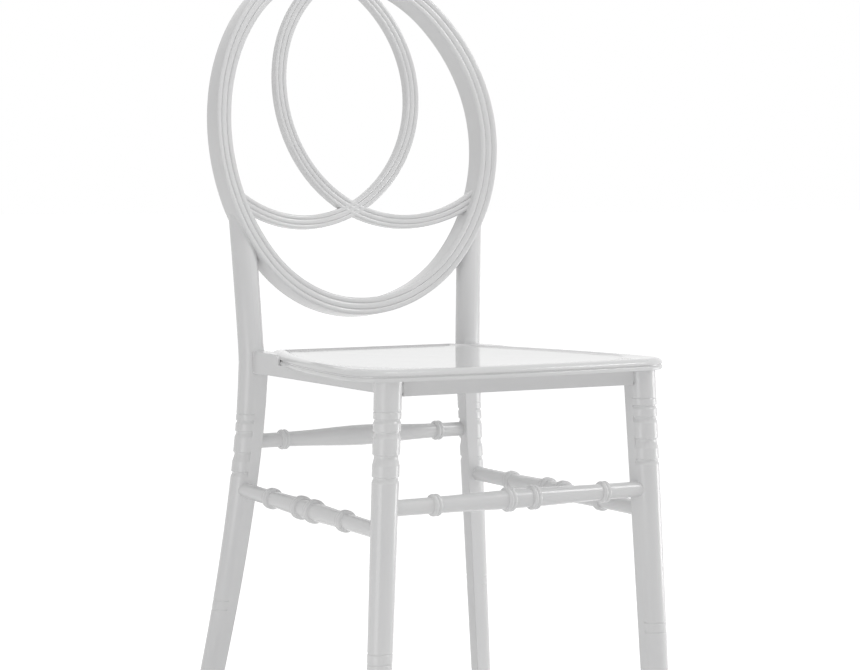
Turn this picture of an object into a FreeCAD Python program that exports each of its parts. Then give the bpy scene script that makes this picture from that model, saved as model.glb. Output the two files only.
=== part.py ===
# A moulded ring-back side chair: a round back ring with two interlaced curves, two
# rear legs that run up as posts, two front legs, four seat rails, four turned rungs,
# a dished seat plate and the hardware that holds them together.
# Millimetres. X to the sitter's left seen from the front camera's right, Y to the back,
# Z up. The origin is on the floor under the middle of the chair.
import FreeCAD, Part
import math
import os

import Sketcher

from FreeCAD import Placement, Rotation, Vector

doc = FreeCAD.newDocument("Chair")
sheet = doc.addObject("Spreadsheet::Sheet", "Sizes")

sizes = [
    # the whole chair
    ("seat_height", 450), ("ring_above_seat", 34.3), ("fit_gap", 0.15), ("glue_gap", 0.2),
    # seat plate
    ("plate_thickness", 12.5), ("plate_front_width", 406), ("plate_rear_width", 251),
    ("plate_front_reach", 13.3), ("plate_rear_inset", 3), ("plate_front_bow", 14),
    ("plate_side_bow", 17), ("plate_front_corner", 45), ("plate_rear_corner", 12),
    ("plate_edge_round", 4), ("plate_rim", 16), ("plate_dish", 1.5), ("dish_corner", 95),
    ("plate_groove_width", 1.6), ("plate_groove_depth", 1.4), ("plate_groove_level", 4.4),
    # front legs
    ("front_spacing", 326.8), ("front_set", 202.75), ("front_splay_side", 22),
    ("front_splay_ahead", 10.6), ("front_radius_top", 15.1), ("front_radius_foot", 12.8),
    # rear legs and posts
    ("rear_spacing", 299.6), ("leg_depth", 348.5), ("rear_splay_side", 22.5),
    ("rear_splay_back", 2.4), ("sabre_start", 37.5), ("sabre_side", 27.3),
    ("sabre_back", 42), ("sabre_power", 1.6), ("rear_radius_top", 15.2),
    ("rear_radius_foot", 12.1), ("post_radius", 15.2), ("post_bend_height", 152),
    ("post_flare", 7), ("post_lean", 8), ("post_bend_power", 1.15),
    # turned bands on the legs
    ("front_band_drop", 30.9), ("rear_band_drop", 61.5), ("band_depth", 1.4),
    ("foot_band_height", 152.5), ("foot_band_width", 2.2), ("foot_band_pitch", 10),
    # seat rails
    ("rail_thickness", 18), ("front_rail_depth", 16.5), ("side_rail_depth", 13.5),
    ("rear_rail_depth", 16.5), ("rail_tenon_length", 8), ("rail_tenon_thickness", 6),
    ("rail_tenon_depth", 9), ("tenon_set_out", 2), ("rail_set_in", 3.5), ("lug_length", 70),
    ("lug_round", 10), ("lug_step", 0.6),
    # corner blocks and their hardware
    ("block_reach", 52), ("block_nose", 14), ("bolt_diameter", 6), ("bolt_length", 58),
    ("bolt_in_leg", 16), ("washer_diameter", 12), ("washer_thickness", 1.5),
    ("nut_across_flats", 10), ("nut_height", 5), ("block_depth", 13),
    ("screw_diameter", 4.5), ("screw_head_diameter", 9), ("screw_head_height", 3),
    ("screw_length", 21), ("screw_from_corner", 24),
    # rungs
    ("front_rung_height", 303.5), ("side_rung_front_height", 278.5),
    ("side_rung_rear_height", 285.5), ("rear_rung_height", 341.7),
    ("rung_end_radius", 8.6), ("rung_neck_radius", 9.1), ("rung_ring_radius", 12.2),
    ("rung_ring_width", 9), ("rung_ring_place", 109), ("side_ring_place", 92),
    ("rung_swell_radius", 10.8), ("rung_pair_radius", 12.6), ("rung_pair_place", 16),
    ("rung_waist_radius", 9.6), ("rear_rung_swell", 12.5), ("socket_depth", 11),
    # back ring
    ("ring_half_width", 192.3), ("ring_half_height", 218), ("ring_end_radius", 177.5),
    ("ring_band", 20.8), ("ring_depth", 30.5), ("back_rake", 8.3), ("back_curve_radius", 771),
    ("ring_groove_width", 1.8), ("ring_groove_depth", 1.6), ("ring_set_ahead", 3.6),
    ("dowel_diameter", 8), ("dowel_length", 20), ("dowel_spacing", 14), ("dowel_drop", 5),
    # inner curves
    ("loop_radius", 162.5), ("loop_offset", 71.5), ("loop_rise", 58.5),
    ("loop_width", 16.5), ("loop_depth", 13), ("loop_groove_depth", 1.2),
    ("loop_groove_width", 1.4), ("pin_diameter", 4), ("pin_length", 18),
    ("top_pin_place", 24),
    # foot glides
    ("glide_height", 3.5), ("glide_radius", 10.5), ("glide_stem_radius", 4),
    ("glide_stem_length", 14),
]
for row, (name, value) in enumerate(sizes, start=1):
    sheet.set("A%d" % row, name)
    sheet.set("B%d" % row, str(value))
    sheet.setAlias("B%d" % row, name)
doc.recompute()


def size(name):
    """The value of one named size on the sheet."""
    return float(sheet.get(name))


GAP = size("fit_gap")
GLUE = size("glue_gap")
UNDERSIDE = size("seat_height") - size("plate_thickness")
REAR_Y = size("leg_depth") - size("front_set")
nodes = []


def keep(obj, label):
    """Name a finished sub-part and list it for writing."""
    obj.Label = label
    nodes.append(obj)
    return obj


def feature(label, shape, placement=Placement()):
    """A sub-part whose shape is worked out here, placed after it has its shape."""
    obj = doc.addObject("Part::Feature", label)
    obj.Shape = shape
    obj.Placement = placement
    return keep(obj, label)


def box(x0, y0, z0, x1, y1, z1):
    return Part.makeBox(x1 - x0, y1 - y0, z1 - z0, Vector(x0, y0, z0))


def rod(radius, start, end):
    """A round bar from one point to another."""
    along = end - start
    return Part.makeCylinder(radius, along.Length, start, along)


def pose(origin, along):
    """Placement that turns a piece built up its own Z to run along a direction."""
    return Placement(origin, Rotation(Vector(0, 0, 1), along))


# Leg centre lines, given for the right-hand side
def front_axis(z):
    fall = (UNDERSIDE - z) / UNDERSIDE
    x = size("front_spacing") / 2 + size("front_splay_side") * fall
    y = -size("front_set") - size("front_splay_ahead") * fall
    return Vector(x, y, z)


def rear_axis(z):
    x = size("rear_spacing") / 2
    if z >= UNDERSIDE:
        bend = ((z - UNDERSIDE) / size("post_bend_height")) ** size("post_bend_power")
        return Vector(x + size("post_flare") * bend, REAR_Y + size("post_lean") * bend, z)
    fall = (UNDERSIDE - z) / UNDERSIDE
    start = UNDERSIDE - size("sabre_start")
    bend = (max(start - z, 0) / start) ** size("sabre_power")
    x += size("rear_splay_side") * fall + size("sabre_side") * bend
    y = REAR_Y + size("rear_splay_back") * fall + size("sabre_back") * bend
    return Vector(x, y, z)


def mirrored(point):
    return Vector(-point.x, point.y, point.z)


def taper(top, foot, z):
    """Radius of a leg at a height: it thins evenly from the seat to the foot."""
    return size(foot) + (size(top) - size(foot)) * z / UNDERSIDE


def front_radius(z):
    return taper("front_radius_top", "front_radius_foot", z)


def rear_radius(z):
    return taper("rear_radius_top", "rear_radius_foot", z)


# Leg section: round outside, with a square corner towards the inside of the chair
def leg_section(centre, radius, inward_x, inward_y):
    corner = Vector(centre.x + inward_x * radius, centre.y + inward_y * radius, centre.z)
    side = Vector(centre.x + inward_x * radius, centre.y, centre.z)
    end = Vector(centre.x, centre.y + inward_y * radius, centre.z)
    diagonal = radius / math.sqrt(2)
    outer = Vector(centre.x - inward_x * diagonal, centre.y - inward_y * diagonal, centre.z)
    first = Vector(centre.x + inward_x * radius * math.cos(math.radians(67.5)),
                   centre.y - inward_y * radius * math.sin(math.radians(67.5)), centre.z)
    second = Vector(centre.x - inward_x * radius * math.sin(math.radians(67.5)),
                    centre.y + inward_y * radius * math.cos(math.radians(67.5)), centre.z)
    return Part.Wire([
        Part.Arc(side, first, outer).toShape(),
        Part.Arc(outer, second, end).toShape(),
        Part.LineSegment(end, corner).toShape(),
        Part.LineSegment(corner, side).toShape(),
    ])


def leg_solid(axis, radius, heights, inward_x, inward_y, flip, ruled):
    sections = []
    for z in heights:
        centre = mirrored(axis(z)) if flip else axis(z)
        sections.append(leg_section(centre, radius(z), inward_x, inward_y))
    return Part.makeLoft(sections, True, ruled)


def band_cut(centre, radius, height, depth, inward_x, inward_y):
    """A groove round the outside of a leg that stops at its two flat inner faces."""
    wide = 3 * radius
    start = Vector(centre.x, centre.y, centre.z - height)
    ring = Part.makeCylinder(wide, height, start)
    core = Part.makeCylinder(radius - depth, height, start)
    flats = box(min(centre.x, centre.x + inward_x * wide), min(centre.y, centre.y + inward_y * wide),
                centre.z - height, max(centre.x, centre.x + inward_x * wide),
                max(centre.y, centre.y + inward_y * wide), centre.z)
    return ring.cut(core).cut(flats)


# Bands on a leg: how far each groove starts below the first one, and its height
leg_bands = [(0, 1.4), (8.2, 4.6), (21, 7.2), (45.6, 11.4), (68.8, 6.2)]


def banded(solid, axis, radius, band_top, inward_x, inward_y, flip):
    cuts = []
    for drop, height in leg_bands:
        cuts.append((band_top - drop, height, size("band_depth")))
    for step in (0, 1):
        level = size("foot_band_height") + size("foot_band_width") - step * size("foot_band_pitch")
        cuts.append((level, size("foot_band_width"), size("band_depth") / 2))
    for level, height, depth in cuts:
        middle = level - height / 2
        centre = mirrored(axis(middle)) if flip else axis(middle)
        centre.z = level
        solid = solid.cut(band_cut(centre, radius(middle), height, depth, inward_x, inward_y))
    return solid


# Turned rungs run from leg axis to leg axis and stand in round sockets
def rung_ends(first, second, first_radius, second_radius):
    """Where a rung starts and ends: a socket's depth inside each leg's flat face."""
    along = (second - first).normalize()
    reach = size("socket_depth")
    start = first + along * (first_radius - reach)
    end = second - along * (second_radius - reach)
    return start, end


def socket(start, end, at_start):
    """The round hole for one end of a rung, a little wider and deeper than the end."""
    along = (end - start).normalize()
    radius = size("rung_end_radius") + GAP
    reach = 4 * size("socket_depth")
    if at_start:
        return rod(radius, start - along * GAP, start + along * reach)
    return rod(radius, end - along * reach, end + along * GAP)


front_level = size("front_rung_height")
side_front = size("side_rung_front_height")
side_rear = size("side_rung_rear_height")
rear_level = size("rear_rung_height")
front_rung_ends = rung_ends(mirrored(front_axis(front_level)), front_axis(front_level),
                            front_radius(front_level), front_radius(front_level))
rear_rung_ends = rung_ends(mirrored(rear_axis(rear_level)), rear_axis(rear_level),
                           rear_radius(rear_level), rear_radius(rear_level))
side_rung_ends = rung_ends(front_axis(side_front), rear_axis(side_rear),
                           front_radius(side_front), rear_radius(side_rear))
left_rung_ends = (mirrored(side_rung_ends[0]), mirrored(side_rung_ends[1]))

# Seat rails: where they run and the tenons at their ends
half_rail = size("rail_thickness") / 2
half_tenon = size("rail_tenon_thickness") / 2
front_rail_y = -size("front_set") + size("rail_set_in")
rear_rail_y = REAR_Y - size("rail_set_in")
front_tenon_y = -size("front_set") - size("tenon_set_out")
rear_tenon_y = REAR_Y + size("tenon_set_out")
rail_end_front = front_axis(UNDERSIDE).x - size("front_radius_top") - GAP
rail_end_rear = rear_axis(UNDERSIDE).x - size("rear_radius_top") - GAP
side_start = front_axis(UNDERSIDE) + Vector(-size("rail_set_in"), size("front_radius_top") + GAP, 0)
side_end = rear_axis(UNDERSIDE) + Vector(-size("rail_set_in"), -size("rear_radius_top") - GAP, 0)
side_angle = math.degrees(math.atan2(side_start.x - side_end.x, side_end.y - side_start.y))
side_length = (side_end - side_start).Length


def across_tenon(y, end, rail_depth, grow):
    """Tenon at the +X end of a front or rear rail, or its mortise when grown."""
    middle = UNDERSIDE - rail_depth / 2
    tall = size("rail_tenon_depth") / 2 + grow
    return box(end - size("rail_tenon_length"), y - half_tenon - grow, middle - tall,
               end + size("rail_tenon_length") + grow, y + half_tenon + grow, middle + tall)


def side_place():
    return Placement(side_start, Rotation(Vector(0, 0, 1), side_angle))


def side_tenons(grow):
    """Both tenons of a side rail, in the rail's own frame with Y along it."""
    middle = -size("side_rail_depth") / 2
    tall = size("rail_tenon_depth") / 2 + grow
    reach = size("rail_tenon_length") + grow
    across = size("rail_set_in") + size("tenon_set_out")
    return box(across - half_tenon - grow, -reach, middle - tall, across + half_tenon + grow,
               side_length + reach, middle + tall)


def flipped(shape):
    return shape.mirror(Vector(0, 0, 0), Vector(1, 0, 0))


side_mortises = side_tenons(GAP)
side_mortises.Placement = side_place()
front_mortise = across_tenon(front_tenon_y, rail_end_front, size("front_rail_depth"), GAP)
rear_mortise = across_tenon(rear_tenon_y, rail_end_rear, size("rear_rail_depth"), GAP)

# Corner bolts run level along each corner's diagonal, from the block into the leg
bolt_level = UNDERSIDE - size("block_depth") / 2


def corner(axis, radius, inward_y):
    """Inner corner of a right-hand leg and the direction into the chair from it."""
    centre = axis(bolt_level)
    r = radius(bolt_level)
    inward = Vector(-1, inward_y, 0).normalize()
    return Vector(centre.x - r, centre.y + inward_y * r, bolt_level), inward


front_corner, front_inward = corner(front_axis, front_radius, 1)
rear_corner, rear_inward = corner(rear_axis, rear_radius, -1)


def bolt_line(start, inward):
    return start - inward * size("bolt_in_leg"), start + inward * (size("bolt_length") - size("bolt_in_leg"))


def bolt_hole(start, inward):
    first, last = bolt_line(start, inward)
    return rod(size("bolt_diameter") / 2 + GAP, first - inward * GAP, last + inward * GAP)


# Foot glides: a disc under each leg with a stem up into it
def glide_hole(centre):
    stem = size("glide_stem_length") + GAP
    return Part.makeCylinder(size("glide_stem_radius") + GAP, stem + 1, centre + Vector(0, 0, -1))


def oval_edge_x(z):
    """Half width of the ring's outside at a height above its middle, on whichever of its
    arcs lies there."""
    half_width = size("ring_half_width")
    end_radius = size("ring_end_radius")
    end_centre = size("ring_half_height") - end_radius
    side_radius = (end_centre ** 2 + half_width ** 2 - end_radius ** 2) / (2 * (half_width - end_radius))
    side_centre = side_radius - half_width
    touch_z = end_centre * (1 + end_radius / math.hypot(side_centre, end_centre))
    if abs(z) > touch_z:
        return math.sqrt(max(end_radius ** 2 - (abs(z) - end_centre) ** 2, 0))
    return math.sqrt(side_radius ** 2 - z ** 2) - side_centre


# The back: everything in it follows one sheet that leans back and curves round the sitter
rake = math.radians(size("back_rake"))
ring_reach_z = size("ring_half_height") * math.cos(rake) + size("ring_depth") / 2 * math.sin(rake)
ring_centre_z = size("seat_height") + size("ring_above_seat") + ring_reach_z


def joint_height():
    """Where the ring's outside crosses a post's centre line, found by halving."""
    low = ring_centre_z - ring_reach_z
    high = ring_centre_z
    for _ in range(40):
        z = (low + high) / 2
        if oval_edge_x((z - ring_centre_z) / math.cos(rake)) > rear_axis(z).x:
            high = z
        else:
            low = z
    return low


joint_z = joint_height()
joint_drop = (joint_z - ring_centre_z) / math.cos(rake)
joint_post = rear_axis(joint_z)
curve_in = joint_post.x ** 2 / (2 * size("back_curve_radius"))
ring_centre_y = (joint_post.y + curve_in - joint_drop * math.sin(rake)
                 - size("ring_set_ahead"))
back_place = Placement(Vector(0, ring_centre_y, ring_centre_z),
                       Rotation(Vector(1, 0, 0), -size("back_rake")))
TALL = 2 * size("ring_half_height")


def oval(inset):
    """Filled oval prism, inset from the ring's outside. Four arcs meet without a corner:
    tight ones at the top and bottom and wide ones at the sides."""
    half_width = size("ring_half_width")
    half_height = size("ring_half_height")
    end_radius = size("ring_end_radius")
    end_centre = half_height - end_radius
    side_radius = (end_centre ** 2 + half_width ** 2 - end_radius ** 2) / (2 * (half_width - end_radius))
    side_centre = side_radius - half_width
    reach = math.hypot(side_centre, end_centre)
    touch_x = side_centre / reach * (end_radius - inset)
    touch_z = end_centre + end_centre / reach * (end_radius - inset)
    high = half_height - inset
    wide = half_width - inset
    depth = size("ring_depth") * 6
    points = [Vector(touch_x, -depth, touch_z), Vector(0, -depth, high), Vector(-touch_x, -depth, touch_z),
              Vector(-wide, -depth, 0), Vector(-touch_x, -depth, -touch_z), Vector(0, -depth, -high),
              Vector(touch_x, -depth, -touch_z), Vector(wide, -depth, 0)]
    arcs = []
    for first in (0, 2, 4, 6):
        arcs.append(Part.Arc(points[first], points[first + 1], points[(first + 2) % 8]).toShape())
    return Part.Face(Part.Wire(arcs)).extrude(Vector(0, 2 * depth, 0))


def curved_sheet(front, rear):
    """The part of the back between two depths, measured back from its middle."""
    radius = size("back_curve_radius")
    base = Vector(0, -radius, -TALL)
    outer = Part.makeCylinder(radius + rear, 2 * TALL, base)
    inner = Part.makeCylinder(radius + front, 2 * TALL, base)
    behind = box(-TALL, -radius, -TALL, TALL, radius, TALL)
    return outer.cut(inner).common(behind)


def hoop(radius_out, radius_in, side):
    """Round strap prism about the centre of one inner curve."""
    depth = size("ring_depth") * 6
    start = Vector(side * size("loop_offset"), -depth, size("loop_rise"))
    along = Vector(0, 1, 0)
    outer = Part.makeCylinder(radius_out, 2 * depth, start, along)
    return outer.cut(Part.makeCylinder(radius_in, 2 * depth, start, along))


def sheet_y(x):
    """How far forward the back curves at a distance from its middle."""
    radius = size("back_curve_radius")
    return math.sqrt(radius ** 2 - x ** 2) - radius


# Pins that hold the inner curves to the ring, in the back's own frame
def oval_half_width(z, inset):
    """Half width of the oval on its wide side arcs at a height."""
    half_width = size("ring_half_width")
    end_centre = size("ring_half_height") - size("ring_end_radius")
    side_radius = ((end_centre ** 2 + half_width ** 2 - size("ring_end_radius") ** 2)
                   / (2 * (half_width - size("ring_end_radius"))))
    return math.sqrt((side_radius - inset) ** 2 - z ** 2) - side_radius + half_width


def side_pin(side):
    """Pin along the curve where it meets the ring's side. The place is found by halving."""
    low = -size("ring_half_height") / 2
    high = 0.0
    for _ in range(40):
        z = (low + high) / 2
        curve_x = size("loop_offset") + math.sqrt(size("loop_radius") ** 2 - (size("loop_rise") - z) ** 2)
        if curve_x > oval_half_width(z, size("ring_band")):
            high = z
        else:
            low = z
    x = oval_half_width(z, size("ring_band"))
    arm = Vector(x - size("loop_offset"), 0, z - size("loop_rise")).normalize()
    along = Vector(-arm.z, 0, arm.x)
    middle = Vector(x, sheet_y(x), z)
    start = middle - along * (size("pin_length") / 2)
    end = middle + along * (size("pin_length") / 2)
    if side < 0:
        return mirrored(start), mirrored(end)
    return start, end


def top_pin(side):
    """Upright pin where a curve runs into the top of the ring."""
    x = side * size("top_pin_place")
    end_radius = size("ring_end_radius")
    inner = size("ring_half_height") - end_radius + math.sqrt((end_radius - size("ring_band")) ** 2 - x ** 2)
    half = size("pin_length") / 2
    return Vector(x, sheet_y(x), inner - half), Vector(x, sheet_y(x), inner + half)


pin_lines = [side_pin(-1), side_pin(1), top_pin(-1), top_pin(1)]


def pin_hole(line):
    along = (line[1] - line[0]).normalize()
    return rod(size("pin_diameter") / 2 + GAP, line[0] - along * GAP, line[1] + along * GAP)


# Dowels between posts and ring lie level across the chair
def dowel_lines(side):
    lines = []
    for step in (-0.5, 0.5):
        z = joint_z - size("dowel_drop") + step * size("dowel_spacing")
        drop = (z - ring_centre_z) / math.cos(rake)
        x = side * oval_edge_x(drop)
        y = rear_axis(z).y
        half = Vector(size("dowel_length") / 2, 0, 0)
        middle = Vector(x, y, z)
        lines.append((middle - half, middle + half))
    return lines


all_dowels = dowel_lines(1) + dowel_lines(-1)


def dowel_hole(line):
    step = Vector(GAP, 0, 0)
    return rod(size("dowel_diameter") / 2 + GAP, line[0] - step, line[1] + step)


# Rear legs: sabre leg below the seat, round post above it, coped to the ring's outside
def rear_leg(flip):
    inward = 1 if flip else -1
    floor = size("glide_height")
    steps = 7
    heights = []
    for i in range(steps + 1):
        heights.append(floor + (UNDERSIDE - floor) * i / steps)
    leg = leg_solid(rear_axis, rear_radius, heights, inward, -1, flip, False)
    circles = []
    for i in range(steps + 1):
        centre = rear_axis(UNDERSIDE + (ring_centre_z - UNDERSIDE) * i / steps)
        if flip:
            centre = mirrored(centre)
        circles.append(Part.Wire(Part.makeCircle(size("post_radius"), centre)))
    post = Part.makeLoft(circles, True, False)
    cope = oval(-GLUE)
    cope.Placement = back_place
    above = box(-TALL, -TALL, ring_centre_z - size("ring_band") * 4, TALL, TALL, ring_centre_z + TALL)
    solid = leg.fuse(post.cut(cope)).cut(above)
    band_top = UNDERSIDE - size("rear_band_drop")
    solid = banded(solid, rear_axis, rear_radius, band_top, inward, -1, flip)
    mortises = [side_mortises, rear_mortise]
    holes = [bolt_hole(rear_corner, rear_inward), glide_hole(rear_axis(floor))]
    for cut in mortises + holes:
        solid = solid.cut(flipped(cut) if flip else cut)
    rung = rear_rung_ends
    solid = solid.cut(socket(rung[0], rung[1], flip))
    side = left_rung_ends if flip else side_rung_ends
    solid = solid.cut(socket(side[0], side[1], False))
    for line in dowel_lines(-1 if flip else 1):
        solid = solid.cut(dowel_hole(line))
    return solid.removeSplitter()


def front_leg(flip):
    inward = 1 if flip else -1
    floor = size("glide_height")
    solid = leg_solid(front_axis, front_radius, [floor, UNDERSIDE], inward, 1, flip, True)
    band_top = UNDERSIDE - size("front_band_drop")
    solid = banded(solid, front_axis, front_radius, band_top, inward, 1, flip)
    for cut in (side_mortises, front_mortise, bolt_hole(front_corner, front_inward),
                glide_hole(front_axis(floor))):
        solid = solid.cut(flipped(cut) if flip else cut)
    solid = solid.cut(socket(front_rung_ends[0], front_rung_ends[1], flip))
    side = left_rung_ends if flip else side_rung_ends
    return solid.cut(socket(side[0], side[1], True)).removeSplitter()


feature("front_leg_left", front_leg(True))
feature("front_leg_right", front_leg(False))
feature("rear_leg_left", rear_leg(True))
feature("rear_leg_right", rear_leg(False))


# The back ring: an oval hoop with two grooves round its front, so that it reads as three rods
def back_ring():
    half = size("ring_depth") / 2
    hoop_prism = oval(0).cut(oval(size("ring_band")))
    ring = hoop_prism.common(curved_sheet(-half, half))
    front_skin = curved_sheet(-2 * half, -half + size("ring_groove_depth"))
    for part_of_band in (1 / 3, 2 / 3):
        middle = size("ring_band") * part_of_band
        near = middle - size("ring_groove_width") / 2
        far = middle + size("ring_groove_width") / 2
        ring = ring.cut(oval(near).cut(oval(far)).common(front_skin))
    for line in pin_lines:
        ring = ring.cut(pin_hole(line))
    return_frame = back_place.inverse()
    for line in all_dowels:
        hole = dowel_hole(line)
        hole.Placement = return_frame.multiply(hole.Placement)
        ring = ring.cut(hole)
    return ring


feature("back_ring", back_ring(), back_place)


# The two inner curves: straps that are arcs of a circle, halved into each other where they cross
def strap(side, grow):
    half_width = size("loop_width") / 2 + grow
    return hoop(size("loop_radius") + half_width, size("loop_radius") - half_width, side)


def back_loop(side):
    half = size("loop_depth") / 2
    inside = oval(size("ring_band") + GLUE)
    loop = strap(side, 0).common(inside).common(curved_sheet(-half, half))
    beyond = size("ring_half_width") * 2
    mitre_low = size("loop_rise")
    if side > 0:
        mitre = box(-GLUE / 2, -TALL, mitre_low, beyond, TALL, TALL)
        lap = curved_sheet(-GLUE / 2, half * 2)
    else:
        mitre = box(-beyond, -TALL, mitre_low, GLUE / 2, TALL, TALL)
        lap = curved_sheet(-half * 2, GLUE / 2)
    loop = loop.cut(mitre)
    crossing = strap(-side, GLUE).common(box(-beyond, -TALL, -TALL, beyond, TALL, mitre_low))
    loop = loop.cut(crossing.common(lap))
    front_skin = curved_sheet(-2 * half, -half + size("loop_groove_depth"))
    for place in (-1 / 6, 1 / 6):
        middle = size("loop_radius") + size("loop_width") * place
        narrow = size("loop_groove_width") / 2
        loop = loop.cut(hoop(middle + narrow, middle - narrow, side).common(front_skin))
    for line in pin_lines:
        loop = loop.cut(pin_hole(line))
    return loop


# The curve centred on the right bulges to the left, and is named for its bulge
feature("back_loop_left", back_loop(1), back_place)
feature("back_loop_right", back_loop(-1), back_place)


def group(label, solids, placement=Placement()):
    return feature(label, Part.makeCompound(solids), placement)


group("loop_pins", [rod(size("pin_diameter") / 2, start, end) for start, end in pin_lines], back_place)
group("ring_dowels", [rod(size("dowel_diameter") / 2, start, end) for start, end in all_dowels])


# Seat plate
def meeting(first, first_radius, second, second_radius):
    """Where two circles cross, on the side with the larger X."""
    between = second - first
    distance = between.Length
    along = (distance ** 2 + first_radius ** 2 - second_radius ** 2) / (2 * distance)
    across = math.sqrt(first_radius ** 2 - along ** 2)
    ahead = between.normalize()
    points = []
    for turn in (1, -1):
        points.append(first + ahead * along + Vector(-ahead.y, ahead.x, 0) * (turn * across))
    return max(points, key=lambda point: point.x)


def on_circle(centre, radius, first, last):
    """The point of a circle that is half way between two others."""
    return centre + ((first + last) * 0.5 - centre).normalize() * radius


def plate_prism(inset, low, high, least_front_round=1):
    """Seat outline between two levels, inset from its edge: narrow between the posts and
    wide in front, with bowed sides, a bowed front and round corners."""
    front = -size("front_set") - size("plate_front_reach")
    rear = REAR_Y - size("plate_rear_inset")
    front_point = Vector(size("plate_front_width") / 2, front, low)
    rear_point = Vector(size("plate_rear_width") / 2, rear, low)
    bowed = (front_point + rear_point) * 0.5 + Vector(size("plate_side_bow"), 0, 0)
    side = Part.Circle(front_point, bowed, rear_point)
    tip = Vector(0, front - size("plate_front_bow"), low)
    nose = Part.Circle(mirrored(front_point), tip, front_point)
    side_radius = side.Radius - inset
    nose_radius = nose.Radius - inset
    corner_point = meeting(nose.Center, nose_radius, side.Center, side_radius)
    back_y = rear - inset
    back_x = side.Center.x + math.sqrt(side_radius ** 2 - (back_y - side.Center.y) ** 2)
    back_point = Vector(back_x, back_y, low)
    middle = on_circle(side.Center, side_radius, back_point, corner_point)
    front_tip = Vector(0, nose.Center.y - nose_radius, low)
    outline = Part.Wire([
        Part.LineSegment(mirrored(back_point), back_point).toShape(),
        Part.Arc(back_point, middle, corner_point).toShape(),
        Part.Arc(corner_point, front_tip, mirrored(corner_point)).toShape(),
        Part.Arc(mirrored(corner_point), mirrored(middle), mirrored(back_point)).toShape(),
    ])
    prism = Part.Face(outline).extrude(Vector(0, 0, high - low))
    front_round = max(size("plate_front_corner") - inset, least_front_round)
    rear_round = max(size("plate_rear_corner") - inset, 1)
    for radius, ahead in ((front_round, True), (rear_round, False)):
        uprights = []
        for edge in prism.Edges:
            span = edge.BoundBox
            upright = span.ZLength > high - low - 0.01 and span.XLength < 0.01 and span.YLength < 0.01
            if upright and (span.YMin < 0) == ahead:
                uprights.append(edge)
        prism = prism.makeFillet(radius, uprights)
    return prism


def seat_screw_places():
    places = []
    for start, inward in ((front_corner, front_inward), (rear_corner, rear_inward)):
        middle = start + inward * size("screw_from_corner")
        across = Vector(inward.y, -inward.x, 0) * (size("bolt_diameter") + size("screw_head_diameter") * 0.4)
        places.append(middle + across)
        places.append(mirrored(middle + across))
    return places


def seat_plate():
    top = size("seat_height")
    plate = plate_prism(0, UNDERSIDE, top)
    rims = []
    for edge in plate.Edges:
        if edge.BoundBox.ZMin > top - 0.01:
            rims.append(edge)
    plate = plate.makeFillet(min(size("plate_edge_round"), size("plate_thickness") / 3), rims)
    dish = plate_prism(size("plate_rim"), top - size("plate_dish"), top + 1, size("dish_corner"))
    plate = plate.cut(dish)
    level = UNDERSIDE + size("plate_groove_level")
    high = level + size("plate_groove_width")
    groove = plate_prism(-size("plate_rim"), level, high)
    groove = groove.cut(plate_prism(size("plate_groove_depth"), level, high))
    plate = plate.cut(groove)
    for place in seat_screw_places():
        tip = seat_screw_tip()
        hole = Part.makeCylinder(size("screw_diameter") / 2 + GAP, tip - UNDERSIDE + GAP + 1,
                                 Vector(place.x, place.y, UNDERSIDE - 1))
        plate = plate.cut(hole)
    return plate


def seat_screw_tip():
    return UNDERSIDE - size("block_depth") + size("screw_length")


feature("seat_plate", seat_plate())


# Front and rear rails: straight bars with a tenon at each end
def across_rail(label, y, end, rail_depth, tenon_y):
    body = box(-end, y - half_rail, UNDERSIDE - size(rail_depth), end, y + half_rail, UNDERSIDE)
    tenon = across_tenon(tenon_y, end, size(rail_depth), 0)
    return feature(label, body.fuse([tenon, flipped(tenon)]).removeSplitter())


across_rail("front_rail", front_rail_y, rail_end_front, "front_rail_depth", front_tenon_y)
across_rail("rear_rail", rear_rail_y, rail_end_rear, "rear_rail_depth", rear_tenon_y)


# Side rails: each ends at the post in a lug that stands up beside the seat plate
def side_rail_shape():
    body = box(-half_rail, 0, -size("side_rail_depth"), half_rail, side_length, 0)
    lug_top = size("plate_thickness") - size("lug_step")
    lug = box(-half_rail, side_length - size("lug_length"), -1, half_rail, side_length, lug_top)
    edges = []
    for edge in lug.Edges:
        span = edge.BoundBox
        if span.YMax < side_length - size("lug_length") + 0.01 and span.ZMin > lug_top - 0.01:
            edges.append(edge)
    lug = lug.makeFillet(min(size("lug_round"), lug_top * 0.8), edges)
    seat = plate_prism(-GLUE, UNDERSIDE, size("seat_height"))
    seat.Placement = side_place().inverse()
    lug = lug.cut(seat)
    return body.fuse([lug, side_tenons(0)]).removeSplitter()


feature("side_rail_right", side_rail_shape(), side_place())
left_place = Placement(mirrored(side_start), Rotation(Vector(0, 0, 1), -side_angle))
feature("side_rail_left", flipped(side_rail_shape()), left_place)


# Corner blocks: glued between two rails, drilled for the corner bolt and the seat screw
def block_plan(inward_y, inner_y, level):
    """Plan of a right-hand block against the rails' inner faces. The side rail leans a
    little, so the block's side follows it. The second and third points are the ends of
    the slanted face towards the middle of the chair."""
    slope = math.tan(math.radians(side_angle))
    near = inner_y + inward_y * GAP

    def beside_rail(reach, along):
        y = near + inward_y * along
        x = side_start.x - half_rail / math.cos(math.radians(side_angle)) - GAP
        return Vector(x - (y - side_start.y) * slope - reach, y, level)

    nose = size("block_nose")
    reach = size("block_reach")
    return [beside_rail(nose, 0), beside_rail(reach, 0), beside_rail(0, reach), beside_rail(0, nose)]


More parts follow.
